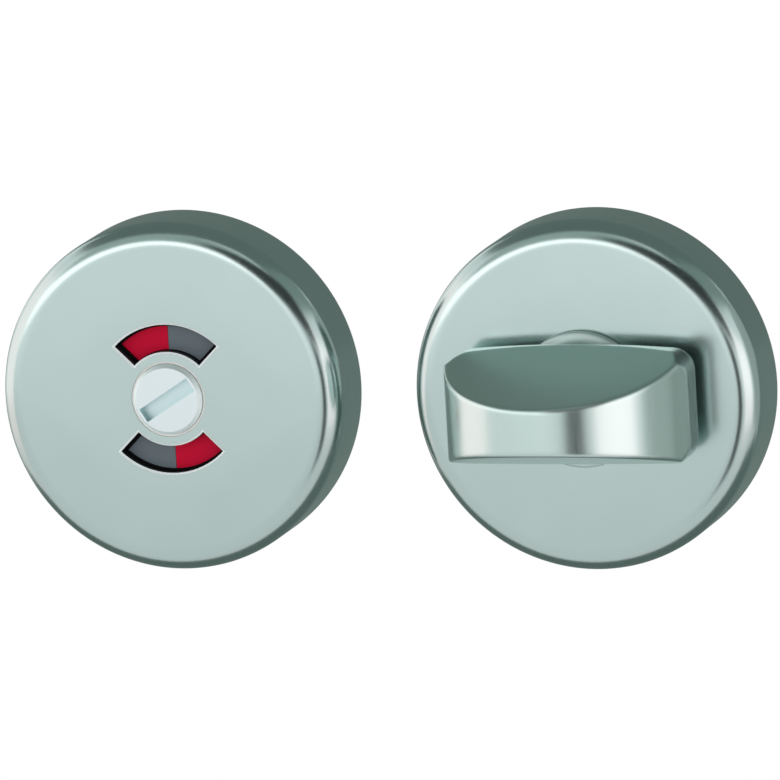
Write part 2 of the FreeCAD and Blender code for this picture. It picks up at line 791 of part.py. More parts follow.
def spindle():
    """The square bar through the door, with bevelled ends and a hole for the spring pin."""
    body = new_body("spindle")
    half = "spindle_side / 2"
    square = rectangle(new_sketch(body, "XY_Plane", "-spindle_reach"), half, half)
    front = f"{TURN_SOCKET_END} - socket_end_play"
    pad(body, square, f"{front} + spindle_reach")
    in_back = edge_in_plane("-spindle_reach")
    in_front = edge_in_plane(front)
    chamfer(body, "spindle_chamfer", lambda edge: in_back(edge) or in_front(edge))
    pin_hole = circle(new_sketch(body, "XZ_Plane"), "pin_diameter / 2 + pin_play", y="pin_height")
    crossing = pocket(body, pin_hole, "2 * spindle_side")
    crossing.SideType = "Symmetric"
    return body


def spindle_pin():
    """A slotted spring pin that holds the spindle in the stem."""
    body = new_body("spindle_pin")
    section = new_sketch(body, "XZ_Plane")
    section.AttachmentOffset = FreeCAD.Placement(V(0, number("pin_height"), 0), FreeCAD.Rotation())
    bind(section, "AttachmentOffset.Base.y", "pin_height")
    outer = "(pin_diameter / 2)"
    sector(section, f"{outer} - pin_wall", outer, "pin_slit_angle / 2", "360 - pin_slit_angle / 2")
    pad(body, section, "stem_diameter - 2 * pin_recess", side="Symmetric")
    return body


# Release rotor and indicator

def release_rotor():
    """The slotted head, the disc's key and the stem of the emergency release, turned in one."""
    body = new_body("release_rotor", OUTSIDE)
    revolve(body, [
        ("0", WASHER_FRONT),
        (STEM_RADIUS, WASHER_FRONT),
        (STEM_RADIUS, DISC_BACK),
        (HEAD_RADIUS, DISC_BACK),
        (HEAD_RADIUS, HEAD_FRONT),
        ("0", HEAD_FRONT),
    ])
    chamfer(body, "head_chamfer", ring_edge(HEAD_RADIUS, HEAD_FRONT))
    key = double_flat(new_sketch(body, "XY_Plane", DISC_BACK), "key_diameter / 2", "key_flats")
    pad(body, key, "disc_thickness")
    slot = new_sketch(body, "XY_Plane", HEAD_FRONT, turned="slot_angle")
    pocket(body, rectangle(slot, "slot_length / 2", "slot_width / 2"), "slot_depth")
    stem_end(body, "release_socket_depth")
    return body


def field_sketch(body, height, play="0", play_angle="0"):
    """A quarter field of the indicator, upper left, drawn smaller by its play all round."""
    inside = f"{WINDOW_INSIDE} - field_margin + {play}"
    outside = f"{WINDOW_OUTSIDE} + field_margin - {play}"
    start = f"{FIELD_DIRECTION} - field_angle / 2 + {play_angle}"
    end = f"{FIELD_DIRECTION} + field_angle / 2 - {play_angle}"
    return sector(new_sketch(body, "XY_Plane", height), inside, outside, start, end)


def indicator_disc():
    """The dark disc behind the windows, with two shallow beds for the red fields."""
    body = new_body("indicator_disc", OUTSIDE)
    pad(body, circle(new_sketch(body, "XY_Plane", DISC_BACK), "disc_diameter / 2"), "disc_thickness")
    keyhole = new_sketch(body, "XY_Plane", DISC_FRONT)
    double_flat(keyhole, "key_diameter / 2 + flats_play", "key_flats + 2 * flats_play")
    pocket(body, keyhole, "disc_thickness")
    bed = pocket(body, field_sketch(body, DISC_FRONT), "field_thickness")
    repeat_around(body, [bed], "2")
    return body


def occupied_fields():
    """The two red quarter fields, flush in the disc."""
    body = new_body("occupied_fields", OUTSIDE)
    sketch = field_sketch(body, f"{DISC_FRONT} - field_thickness", "field_play", "field_play_angle")
    field = pad(body, sketch, "field_thickness")
    repeat_around(body, [field], "2")
    return body


# The whole lock

def build():
    """Every piece of both halves, in the order they are put together."""
    inside_cover = rose_cover("inside_rose_cover", INSIDE, TURN_HOLE)
    outside_cover = rose_cover("outside_rose_cover", OUTSIDE, RELEASE_HOLE)
    indicator_windows(outside_cover)
    return [
        inside_cover,
        rose_base("inside_rose_base", INSIDE, TURN_HUB_FRONT),
        door_screws("inside_rose_screws", INSIDE),
        thumb_turn(),
        thumb_turn_bush(),
        spring_washer("thumb_turn_spring_washer", INSIDE),
        stop_washer("thumb_turn_stop_washer", INSIDE, f"{STOP_DIRECTION} - turn_travel / 2"),
        circlip("thumb_turn_circlip", INSIDE),
        spindle(),
        spindle_pin(),
        outside_cover,
        rose_base("outside_rose_base", OUTSIDE, RELEASE_HUB_FRONT),
        door_screws("outside_rose_screws", OUTSIDE),
        release_rotor(),
        indicator_disc(),
        occupied_fields(),
        spring_washer("release_spring_washer", OUTSIDE),
        stop_washer("release_stop_washer", OUTSIDE, f"{STOP_DIRECTION}"),
        circlip("release_circlip", OUTSIDE),
    ]


def check(bodies):
    """Stop if any feature failed or any piece is not a sound solid."""
    for feature in doc.Objects:
        if "Invalid" in feature.State or "Error" in feature.State:
            raise RuntimeError(f"{feature.Label} failed: {feature.State}")
    for body in bodies:
        if body.Shape.isNull() or not body.Shape.isValid() or not body.Shape.Solids:
            raise RuntimeError(f"{body.Label} is not a sound solid")


def export(bodies):
    """Write each piece to its own STEP file."""
    os.makedirs("parts", exist_ok=True)
    for body in bodies:
        body.Shape.exportStep(os.path.join("parts", body.Label + ".step"))


pieces = build()
doc.recompute()
check(pieces)
export(pieces)
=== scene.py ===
"""Finishes, rose rims, door screws, sleeve, a black liner that paints shade in the windows, and studio for
the bathroom thumb turn lock.
"""
import json
import math

import bpy
from bpy.props import FloatProperty, FloatVectorProperty, PointerProperty
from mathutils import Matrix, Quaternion, Vector


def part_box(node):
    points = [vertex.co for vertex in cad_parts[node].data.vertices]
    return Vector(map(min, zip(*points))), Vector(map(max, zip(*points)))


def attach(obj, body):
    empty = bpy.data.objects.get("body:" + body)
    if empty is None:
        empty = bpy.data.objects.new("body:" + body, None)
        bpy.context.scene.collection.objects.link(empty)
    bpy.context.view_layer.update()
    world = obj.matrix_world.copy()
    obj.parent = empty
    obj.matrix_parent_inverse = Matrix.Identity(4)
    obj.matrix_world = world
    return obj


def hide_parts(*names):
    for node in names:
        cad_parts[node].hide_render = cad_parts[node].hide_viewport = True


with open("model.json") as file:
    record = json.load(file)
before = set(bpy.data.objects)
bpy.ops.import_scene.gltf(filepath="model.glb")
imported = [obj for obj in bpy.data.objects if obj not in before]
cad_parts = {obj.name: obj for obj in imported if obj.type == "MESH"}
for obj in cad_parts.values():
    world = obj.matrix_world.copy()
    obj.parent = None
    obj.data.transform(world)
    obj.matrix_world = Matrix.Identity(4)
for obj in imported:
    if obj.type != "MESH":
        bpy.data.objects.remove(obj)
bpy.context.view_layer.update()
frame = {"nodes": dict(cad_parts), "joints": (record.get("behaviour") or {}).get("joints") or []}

bl_info = {
    "name": "Bathroom Thumb Turn Lock",
    "version": (1, 0, 0),
    "blender": (4, 5, 0),
    "location": "3D View > Sidebar > Lock",
    "description": "Dresses the packed lock, adds its small pieces and sets a studio",
    "category": "Object",
}

MM = 0.001
RELEASE_AXIS = next(
    Vector(joint["pos_m"]) for joint in frame["joints"] if joint["name"] == "release_hinge"
)

# Vertices nearer than this become one, and edges sharper than this stay sharp
WELD = 0.001 * MM
SMOOTH_ANGLE = math.radians(30)

# Sides of the round pieces, and steps in a rim and in a turn of the thread
ROSE_SIDES = 256
RING_SIDES = 128
SCREW_SIDES = 48
RIM_STEPS = 14
THREAD_STEPS = 32

# Share of the screw's radius that its tip keeps, and how deep the threaded rod starts in the shank
BLUNT = 0.04
ROD_DEPTH = 1 * MM

# Ring round the release axis that holds the windows, and how deep their chamfers go
WINDOW_MIDDLE = 9.3 * MM
WINDOW_SPREAD = 2.7 * MM
WINDOW_CHAMFER = 0.31 * MM

# What lies deeper than this belongs no more to the rose's or the release head's face
FACE_SKIN = 0.02 * MM
SLOT_SKIN = 0.1 * MM

# Radius of the release head's face inside its chamfer
HEAD_FACE = 4.74 * MM

# Radius that the grip's edges show in the light, and the depth of the neck in front of the rose
SOFT_EDGE = 1.0 * MM
NECK = 3.5 * MM

# How far a moulded grain takes a plastic's roughness up and down
GRAIN_SPREAD = 0.06

# How many times longer than wide the brush lines and the draw lines are
BRUSH_STRETCH = 40
DRAW_STRETCH = 30

# A wave texture of scale 1 repeats after this length
WAVE_LENGTH = 0.314

# Sockets of a Mix node, where one name stands for several: factor, values, colours and mixed colour
FACTOR = 0
VALUE_A, VALUE_B = 2, 3
COLOUR_A, COLOUR_B = 6, 7
MIXED = 2

# Paper floor: width and depth, how far it lies to the front, in metres, and clouds along a side
FLOOR_SIZE = (5.0, 3.7)
FLOOR_FORWARD = 0.35
FLOOR_CLOUDS = 40.0

# Strength of the white surroundings as light, and as the camera and the metal see them
SKY_LIGHT = 0.8
SKY_SEEN = 1.0


def linear(hex_colour):
    """The linear RGBA of an sRGB hex colour."""
    channels = [int(hex_colour[start:start + 2], 16) / 255 for start in (1, 3, 5)]
    return tuple(c / 12.92 if c <= 0.04045 else ((c + 0.055) / 1.055) ** 2.4 for c in channels) + (1.0,)


def colour_property(name, description, hex_colour):
    """A colour that the user can change, given as an sRGB hex value."""
    return FloatVectorProperty(
        name=name, description=description, subtype="COLOR", size=4, min=0, max=1,
        default=linear(hex_colour),
    )


def length_property(name, description, millimetres):
    """A length that the user can change, given in millimetres."""
    return FloatProperty(
        name=name, description=description, subtype="DISTANCE", unit="LENGTH", min=0, precision=5,
        default=millimetres * MM,
    )


class LockColours(bpy.types.PropertyGroup):
    """Colours of the lock's finishes."""

    satin: colour_property("Rose covers", "Satin anodised aluminium of both rose covers", "#bbcecb")
    grip: colour_property("Thumb turn", "Brushed anodised aluminium of the thumb turn", "#c8dcd8")
    # Bare chamfer metal, lightened into a painted highlight that shows bright from every side
    cut: colour_property("Window edge highlight", "Bare metal of the milled window and head chamfers, lightened into a painted highlight", "#f4ffff")
    # Painted shade: a dark colour that stands in for the shade in the window recesses
    wall: colour_property("Window wall shade", "Painted shade on the walls of the milled windows", "#23292a")
    head: colour_property("Release head", "Bright turned aluminium of the release rotor", "#dfebed")
    slot: colour_property("Release slot", "Milled slot of the release rotor", "#d7edef")
    disc: colour_property("Indicator disc", "Dark grey plastic of the indicator disc", "#637077")
    field: colour_property("Occupied fields", "Red plastic of the occupied fields", "#c80c34")
    # Painted shade: black of the liner behind the windows, which stands in for the shade at their edges
    shade_liner: colour_property("Window shade liner", "Black liner behind the windows, painted shade at their edges", "#08090a")
    nylon: colour_property("Under-roses", "Grey nylon of the under-roses", "#54585c")
    acetal: colour_property("Bush and sleeve", "White acetal of the bush and the release sleeve", "#eeeeea")
    zinc: colour_property("Plated steel", "Zinc plating of the screws, spindle and stop washers", "#c3c7c9")
    spring: colour_property("Spring steel", "Oiled steel of the circlips, spring washers and pin", "#4a4a4b")


class LockGrains(bpy.types.PropertyGroup):
    """Sizes of the patterns in the finishes, coarser than real ones where those are too fine to show."""

    blast: length_property("Blasted grain", "Grain left by bead blasting before anodising", 0.22)
    spinning: length_property("Spun line", "Distance between the spun lines round the wall", 0.88)
    anodising: length_property("Anodised cloud", "Size of the faint clouds in the anodised covers", 9.0)
    brush: length_property("Brush line", "Distance between the brush lines on the thumb turn", 0.16)
    turning: length_property("Turning mark", "Distance between the turning marks on the release head", 0.14)
    mould: length_property("Mould grain", "Grain of the spark-eroded mould faces", 0.35)
    flow: length_property("Flow mark", "Size of the faint flow marks in the plastics", 12.0)
    mottle: length_property("Heat mottle", "Size of the mottling that hardening leaves on the springs", 2.1)
    plating: length_property("Plating cloud", "Size of the clouds in the zinc plating", 4.0)
    drawing: length_property("Drawing line", "Distance between the draw lines along the spindle", 0.3)


class RoseSizes(bpy.types.PropertyGroup):
    """Sizes of the turned outside of the rose covers."""

    rim: length_property("Rim radius", "Radius of the rounded front edge of the rose covers", 3.4)
    skin: length_property("Skin", "Depth that the last turning takes off the packed covers' wall", 0.06)
    facing: length_property("Facing", "Depth that it takes off their front", 0.006)


class ScrewSizes(bpy.types.PropertyGroup):
    """Sizes of the door screws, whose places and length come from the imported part."""

    head: length_property("Head", "Diameter of the countersunk head", 7.0)
    shank: length_property("Shank", "Diameter of the plain shank under the head", 4.0)
    thread: length_property("Thread", "Outer diameter of the thread", 3.5)
    core: length_property("Core", "Diameter of the thread's core", 2.4)
    pitch: length_property("Pitch", "Rise of the thread in one turn", 1.6)
    crest: length_property("Crest", "Width of the thread's crest", 0.12)
    root: length_property("Root", "Width of the bare core between two turns", 0.7)
    point: length_property("Point", "Length of the tapered point", 4.0)
    recess_length: length_property("Recess length", "Length of an arm pair of the cross recess", 4.2)
    recess_width: length_property("Recess width", "Width of the cross recess's arms", 1.0)
    recess_depth: length_property("Recess depth", "Depth of the cross recess", 1.6)


class SleeveAndLinerSizes(bpy.types.PropertyGroup):
    """Sizes of the sleeve round the release head and of the black liner behind the windows, which paints
    shade at their edges.
    """

    bore: length_property("Bore", "Diameter of the rose's hole for the release head", 11.2)
    wall: length_property("Sleeve wall", "Thickness of the sleeve in that hole", 0.26)
    fit: length_property("Sleeve fit", "From the hole's wall to the sleeve", 0.02)
    drop: length_property("Sleeve drop", "From the rose's face down to the sleeve's edge", 0.15)
    length: length_property("Sleeve length", "Length of the sleeve along the axis", 1.1)
    inside: length_property("Seal inside", "Inner diameter of the seal", 12.6)
    outside: length_property("Seal outside", "Outer diameter of the seal", 24.6)
    sheet: length_property("Liner thickness", "Thickness of the liner's sheet", 0.3)
    gap: length_property("Seal gap", "From the seal to the indicator disc", 0.06)
    window_inside: length_property("Window inside", "Inner diameter of the indicator windows", 14.0)
    window_width: length_property("Window width", "Radial width of the indicator windows", 4.05)
    lip: length_property("Side lip", "Overhang of the seal at the ends of the windows", 0.5)
    inner_lip: length_property("Inner lip", "Overhang of the seal at the inner arc of the windows", 0.1)
    outer_lip: length_property("Outer lip", "Overhang of the seal at the outer arc of the windows", 0.4)
    window_angle: FloatProperty(
        name="Window angle", description="Angle that each window spans", subtype="ANGLE",
        default=math.radians(90),
    )


class StudioSizes(bpy.types.PropertyGroup):
    """Camera and floor of the studio."""

    lens: FloatProperty(
        name="Lens", description="Focal length on a 36 mm sensor", unit="CAMERA", min=1, default=600
    )
    distance: length_property("Distance", "From the camera to its target", 1890)
    target: FloatVectorProperty(
        name="Target", description="Point that the camera looks at", subtype="TRANSLATION", unit="LENGTH",
        default=(-29.1 * MM, -12 * MM, 1.3 * MM),
    )
    azimuth: FloatProperty(
        name="Azimuth", description="Camera direction, to the right of straight in front",
        subtype="ANGLE", default=math.radians(16.9),
    )
    elevation: FloatProperty(
        name="Elevation", description="Camera direction, above level", subtype="ANGLE",
        default=math.radians(10.8),
    )
    roll: FloatProperty(
        name="Roll", description="Turn of the camera about its own axis", subtype="ANGLE",
        default=math.radians(-3.4),
    )
    floor_drop: length_property("Floor drop", "From the middle of the lock down to the floor", 500)


def add_node(tree, kind, inputs=None, **settings):
    """Add a shader node with its settings; each input takes a plain value or a link from another socket."""
    node = tree.nodes.new("ShaderNode" + kind)
    for name, value in settings.items():
        setattr(node, name, value)
    for key, value in (inputs or {}).items():
        if isinstance(value, bpy.types.NodeSocket):
            tree.links.new(value, node.inputs[key])
        else:
            node.inputs[key].default_value = value
    return node


def new_material(name):
    """An empty material and its node tree."""
    material = bpy.data.materials.new(name)
    material.use_nodes = True
    tree = material.node_tree
    tree.nodes.clear()
    return material, tree


def shade(colour, factor):
    """A colour made lighter or darker by a factor."""
    return tuple(min(channel * factor, 1.0) for channel in colour[:3]) + (1.0,)


def depth_and_radius(tree, centred):
    """A point's depth behind a face and distance from the release axis, from its place measured from both."""
    depth = add_node(tree, "SeparateXYZ", {"Vector": centred}).outputs["Y"]
    across = add_node(tree, "VectorMath", {0: centred, 1: (1, 0, 1)}, operation="MULTIPLY")
    radius = add_node(tree, "VectorMath", {0: across.outputs[0]}, operation="LENGTH").outputs["Value"]
    return depth, radius


def satin_aluminium(colours, grains, front):
    """Bead blasted and satin anodised: a fine even grain that blurs reflections into soft bands.

    Spinning leaves faint lines round the wall. The windows are milled afterwards: their chamfers are matt
    bare metal, lightened into a painted highlight that shows bright all round, and their walls carry painted
    shade.
    """
    material, tree = new_material("satin anodised aluminium, bead blasted")
    place = add_node(tree, "TexCoord").outputs["Object"]
    speck = add_node(
        tree, "TexNoise", {"Vector": place, "Scale": 1 / grains.blast, "Detail": 3.0, "Roughness": 0.6}
    )
    cloud = add_node(tree, "TexNoise", {"Vector": place, "Scale": 1 / grains.anodising, "Detail": 2.0})
    spun = add_node(tree, "Mapping", {"Vector": place, "Scale": (0, 1 / grains.spinning, 0)})
    rings = add_node(tree, "TexNoise", {"Vector": spun.outputs[0], "Scale": 1.0, "Detail": 2.0})
    blend = add_node(tree, "Mix", {FACTOR: 0.7, VALUE_A: cloud.outputs[0], VALUE_B: rings.outputs[0]})
    tone = add_node(tree, "Mix", {
        FACTOR: blend.outputs[0], COLOUR_A: shade(colours.satin, 0.9), COLOUR_B: shade(colours.satin, 1.1),
    }, data_type="RGBA")
    middle = Vector((RELEASE_AXIS.x, front, RELEASE_AXIS.z))
    centred = add_node(tree, "Mapping", {"Vector": place, "Location": -middle})
    depth, radius = depth_and_radius(tree, centred.outputs[0])
    near = add_node(tree, "Math", {0: radius, 1: WINDOW_MIDDLE, 2: WINDOW_SPREAD}, operation="COMPARE")
    below = add_node(tree, "Math", {0: depth, 1: FACE_SKIN}, operation="GREATER_THAN")
    deep = add_node(tree, "Math", {0: depth, 1: WINDOW_CHAMFER}, operation="GREATER_THAN")
    # The chamfer zone takes the near-white cut colour: bare metal and a painted highlight
    edge = add_node(tree, "Math", {0: near.outputs[0], 1: below.outputs[0]}, operation="MULTIPLY")
    # The wall zone is painted dark: painted shade in the window recesses
    wall = add_node(tree, "Math", {0: near.outputs[0], 1: deep.outputs[0]}, operation="MULTIPLY")
    for zone, colour in ((edge, colours.cut), (wall, colours.wall)):
        tone = add_node(tree, "Mix", {
            FACTOR: zone.outputs[0], COLOUR_A: tone.outputs[MIXED], COLOUR_B: colour,
        }, data_type="RGBA")
    rough = add_node(tree, "MapRange", {"Value": speck.outputs[0], "To Min": 0.18, "To Max": 0.25})
    rough = add_node(tree, "Mix", {FACTOR: edge.outputs[0], VALUE_A: rough.outputs[0], VALUE_B: 0.45})
    # The chamfer zone is also made mostly non-metal, so its painted highlight shows from every side
    metal = add_node(tree, "MapRange", {"Value": edge.outputs[0], "To Min": 1.0, "To Max": 0.25})
    bump = add_node(tree, "Bump", {"Height": speck.outputs[0], "Strength": 0.12, "Distance": 0.01 * MM})
    shader = add_node(tree, "BsdfPrincipled", {
        "Base Color": tone.outputs[MIXED], "Metallic": metal.outputs[0], "Roughness": rough.outputs[0],
        "Normal": bump.outputs[0],
    })
    add_node(tree, "OutputMaterial", {"Surface": shader.outputs[0]})
    return material


def brushed_aluminium(colour, grains, back):
    """Brushed upright, then anodised: fine vertical lines that stretch a highlight across the bow.

    The neck behind the grip is left duller, and the edges are broken, so that the light goes round them.
    """
    material, tree = new_material("anodised aluminium, finely brushed")
    place = add_node(tree, "TexCoord").outputs["Object"]
    across = 1 / grains.brush
    stretch = add_node(tree, "Mapping", {"Vector": place, "Scale": (across, across, across / BRUSH_STRETCH)})
    lines = add_node(tree, "TexNoise", {"Vector": stretch.outputs[0], "Scale": 1.0, "Detail": 2.0})
    tone = add_node(tree, "Mix", {
        FACTOR: lines.outputs[0], COLOUR_A: shade(colour, 0.97), COLOUR_B: shade(colour, 1.03),
    }, data_type="RGBA")
    rough = add_node(tree, "MapRange", {"Value": lines.outputs[0], "To Min": 0.2, "To Max": 0.29})
    split = add_node(tree, "SeparateXYZ", {"Vector": place})
    behind = add_node(tree, "Math", {0: split.outputs["Y"], 1: back}, operation="GREATER_THAN")
    rough = add_node(tree, "Mix", {FACTOR: behind.outputs[0], VALUE_A: rough.outputs[0], VALUE_B: 0.5})
    soft = add_node(tree, "Bevel", {"Radius": SOFT_EDGE}, samples=8)
    bump = add_node(tree, "Bump", {
        "Height": lines.outputs[0], "Normal": soft.outputs[0], "Strength": 0.1, "Distance": 0.006 * MM,
    })
    shader = add_node(tree, "BsdfPrincipled", {
        "Base Color": tone.outputs[MIXED], "Metallic": 1.0, "Roughness": rough.outputs[0],
        "Normal": bump.outputs[0],
    })
    add_node(tree, "OutputMaterial", {"Surface": shader.outputs[0]})
    return material


def turned_aluminium(colours, grains, front):
    """Faced on a lathe: faint rings round the release axis on a bright metal.

    The slot milled into the face is duller, and the chamfer round it is matt bare metal, lightened into a
    painted highlight.
    """
    material, tree = new_material("bright aluminium, turned")
    place = add_node(tree, "TexCoord").outputs["Object"]
    middle = Vector((RELEASE_AXIS.x, front, RELEASE_AXIS.z))
    centred = add_node(tree, "Mapping", {"Vector": place, "Location": -middle})
    rings = add_node(
        tree, "TexWave",
        {"Vector": centred.outputs[0], "Scale": WAVE_LENGTH / grains.turning, "Distortion": 0.4},
        wave_type="RINGS", rings_direction="Y",
    ).outputs["Fac"]
    tone = add_node(tree, "Mix", {
        FACTOR: rings, COLOUR_A: shade(colours.head, 0.98), COLOUR_B: shade(colours.head, 1.02),
    }, data_type="RGBA")
    rough = add_node(tree, "MapRange", {"Value": rings, "To Min": 0.24, "To Max": 0.3})
    depth, radius = depth_and_radius(tree, centred.outputs[0])
    near = add_node(tree, "Math", {0: radius, 1: HEAD_FACE}, operation="LESS_THAN")
    below = add_node(tree, "Math", {0: depth, 1: SLOT_SKIN}, operation="GREATER_THAN")
    milled = add_node(tree, "Math", {0: near.outputs[0], 1: below.outputs[0]}, operation="MULTIPLY")
    # The rim zone takes the near-white cut colour: bare metal and a painted highlight round the head
    rim = add_node(tree, "Math", {0: radius, 1: HEAD_FACE}, operation="GREATER_THAN")
    for zone, colour, dullness in ((milled, colours.slot, 0.5), (rim, colours.cut, 0.6)):
        tone = add_node(tree, "Mix", {
            FACTOR: zone.outputs[0], COLOUR_A: tone.outputs[MIXED], COLOUR_B: colour,
        }, data_type="RGBA")
        rough = add_node(
            tree, "Mix", {FACTOR: zone.outputs[0], VALUE_A: rough.outputs[0], VALUE_B: dullness}
        )
    bump = add_node(tree, "Bump", {"Height": rings, "Strength": 0.06, "Distance": 0.004 * MM})
    shader = add_node(tree, "BsdfPrincipled", {
        "Base Color": tone.outputs[MIXED], "Metallic": 1.0, "Roughness": rough.outputs[0],
        "Normal": bump.outputs[0],
    })
    add_node(tree, "OutputMaterial", {"Surface": shader.outputs[0]})
    return material


def moulded_plastic(name, colour, grains, roughness, contrast, gloss=0.5):
    """Moulded in a spark-eroded tool: an even matt grain with slightly lighter peaks and faint flow marks."""
    material, tree = new_material(name)
    place = add_node(tree, "TexCoord").outputs["Object"]
    speck = add_node(tree, "TexNoise", {"Vector": place, "Scale": 1 / grains.mould, "Detail": 2.0})
    flow = add_node(tree, "TexNoise", {"Vector": place, "Scale": 1 / grains.flow, "Detail": 1.0})
    blend = add_node(tree, "Mix", {FACTOR: 0.5, VALUE_A: speck.outputs[0], VALUE_B: flow.outputs[0]})
    tone = add_node(tree, "Mix", {
        FACTOR: blend.outputs[0],
        COLOUR_A: shade(colour, 1 - contrast),
        COLOUR_B: shade(colour, 1 + contrast),
    }, data_type="RGBA")
    rough = add_node(tree, "MapRange", {
        "Value": speck.outputs[0],
        "To Min": roughness - GRAIN_SPREAD,
        "To Max": roughness + GRAIN_SPREAD,
    })
    bump = add_node(tree, "Bump", {"Height": speck.outputs[0], "Strength": 0.25, "Distance": 0.02 * MM})
    shader = add_node(tree, "BsdfPrincipled", {
        "Base Color": tone.outputs[MIXED], "Roughness": rough.outputs[0], "Normal": bump.outputs[0],
        "Specular IOR Level": gloss,
    })
    add_node(tree, "OutputMaterial", {"Surface": shader.outputs[0]})
    return material


def zinc_steel(colour, grains):
    """Drawn or rolled steel with bright zinc plating: draw lines and pale clouds of passivation."""
    material, tree = new_material("zinc plated steel, drawn")
    place = add_node(tree, "TexCoord").outputs["Object"]
    clouds = add_node(tree, "TexNoise", {"Vector": place, "Scale": 1 / grains.plating, "Detail": 3.0})
    across = 1 / grains.drawing
    stretch = add_node(tree, "Mapping", {"Vector": place, "Scale": (across, across / DRAW_STRETCH, across)})
    lines = add_node(tree, "TexNoise", {"Vector": stretch.outputs[0], "Scale": 1.0, "Detail": 2.0})
    warm = (colour[0] * 1.04, colour[1], colour[2] * 0.86, 1.0)
    tone = add_node(tree, "Mix", {
        FACTOR: clouds.outputs[0], COLOUR_A: shade(colour, 0.92), COLOUR_B: warm,
    }, data_type="RGBA")
    rough = add_node(tree, "MapRange", {"Value": lines.outputs[0], "To Min": 0.24, "To Max": 0.42})
    bump = add_node(tree, "Bump", {"Height": lines.outputs[0], "Strength": 0.15, "Distance": 0.01 * MM})
    shader = add_node(tree, "BsdfPrincipled", {
        "Base Color": tone.outputs[MIXED], "Metallic": 1.0, "Roughness": rough.outputs[0],
        "Normal": bump.outputs[0],
    })
    add_node(tree, "OutputMaterial", {"Surface": shader.outputs[0]})
    return material


def spring_steel(colour, grains):
    """Hardened and oiled strip: dark brown-grey metal, mottled by the heat treatment."""
    material, tree = new_material("spring steel, hardened and oiled")
    place = add_node(tree, "TexCoord").outputs["Object"]
    mottle = add_node(tree, "TexNoise", {"Vector": place, "Scale": 1 / grains.mottle, "Detail": 4.0})
    brown = (colour[0] * 1.12, colour[1] * 1.02, colour[2] * 0.92, 1.0)
    tone = add_node(tree, "Mix", {
        FACTOR: mottle.outputs[0], COLOUR_A: shade(colour, 0.9), COLOUR_B: brown,
    }, data_type="RGBA")
    rough = add_node(tree, "MapRange", {"Value": mottle.outputs[0], "To Min": 0.3, "To Max": 0.48})
    shader = add_node(tree, "BsdfPrincipled", {
        "Base Color": tone.outputs[MIXED], "Metallic": 1.0, "Roughness": rough.outputs[0],
    })
    add_node(tree, "OutputMaterial", {"Surface": shader.outputs[0]})
    return material


def coat(obj, material):
    """Give an object one material alone."""
    obj.data.materials.clear()
    obj.data.materials.append(material)


def dress(material, *names):
    """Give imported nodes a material."""
    for name in names:
        coat(frame["nodes"][name], material)


def only(*objects):
    """Select these objects alone and make the first one active."""
    bpy.ops.object.select_all(action="DESELECT")
    for obj in objects:
        obj.select_set(True)
    bpy.context.view_layer.objects.active = objects[0]


def settle(obj):
    """Put an object's place, turn and scale into its mesh."""
    only(obj)
    bpy.ops.object.transform_apply(location=True, rotation=True, scale=True)


def apply_modifier(obj, kind, **settings):
    """Add a modifier with its settings and apply it."""
    modifier = obj.modifiers.new(kind.title(), kind)
    for name, value in settings.items():
        setattr(modifier, name, value)
    only(obj)
    bpy.ops.object.modifier_apply(modifier=modifier.name)


def combine(obj, other, operation):
    """Join or cut an object with another one, which is used up."""
    apply_modifier(obj, "BOOLEAN", operation=operation, solver="EXACT", object=other)
    bpy.data.objects.remove(other)


def screw_body(sizes, top):
    """Countersunk head and plain shank down to the door face, with its axis on Y."""
    head = sizes.head / 2
    shank = sizes.shank / 2
    bpy.ops.mesh.primitive_circle_add(
        vertices=SCREW_SIDES, radius=head, fill_type="NGON", location=(0, top, 0),
        rotation=(math.pi / 2, 0, 0),
    )
    body = bpy.context.object
    settle(body)
    bpy.ops.object.mode_set(mode="EDIT")
    bpy.ops.mesh.select_all(action="SELECT")
    bpy.ops.mesh.extrude_region_move(TRANSFORM_OT_translate={"value": (0, head - shank, 0)})
    bpy.ops.transform.resize(
        value=(shank / head, 1, shank / head), center_override=(0, top + head - shank, 0)
    )
    bpy.ops.mesh.extrude_region_move(TRANSFORM_OT_translate={"value": (0, shank - head - top, 0)})
    bpy.ops.mesh.select_all(action="SELECT")
    bpy.ops.mesh.normals_make_consistent(inside=False)
    bpy.ops.object.mode_set(mode="OBJECT")
    for length, width in (
        (sizes.recess_length, sizes.recess_width),
        (sizes.recess_width, sizes.recess_length),
    ):
        bpy.ops.mesh.primitive_cube_add(
            location=(0, top, 0), scale=(length / 2, sizes.recess_depth, width / 2)
        )
        arm = bpy.context.object
        settle(arm)
        combine(body, arm, "DIFFERENCE")
    return body


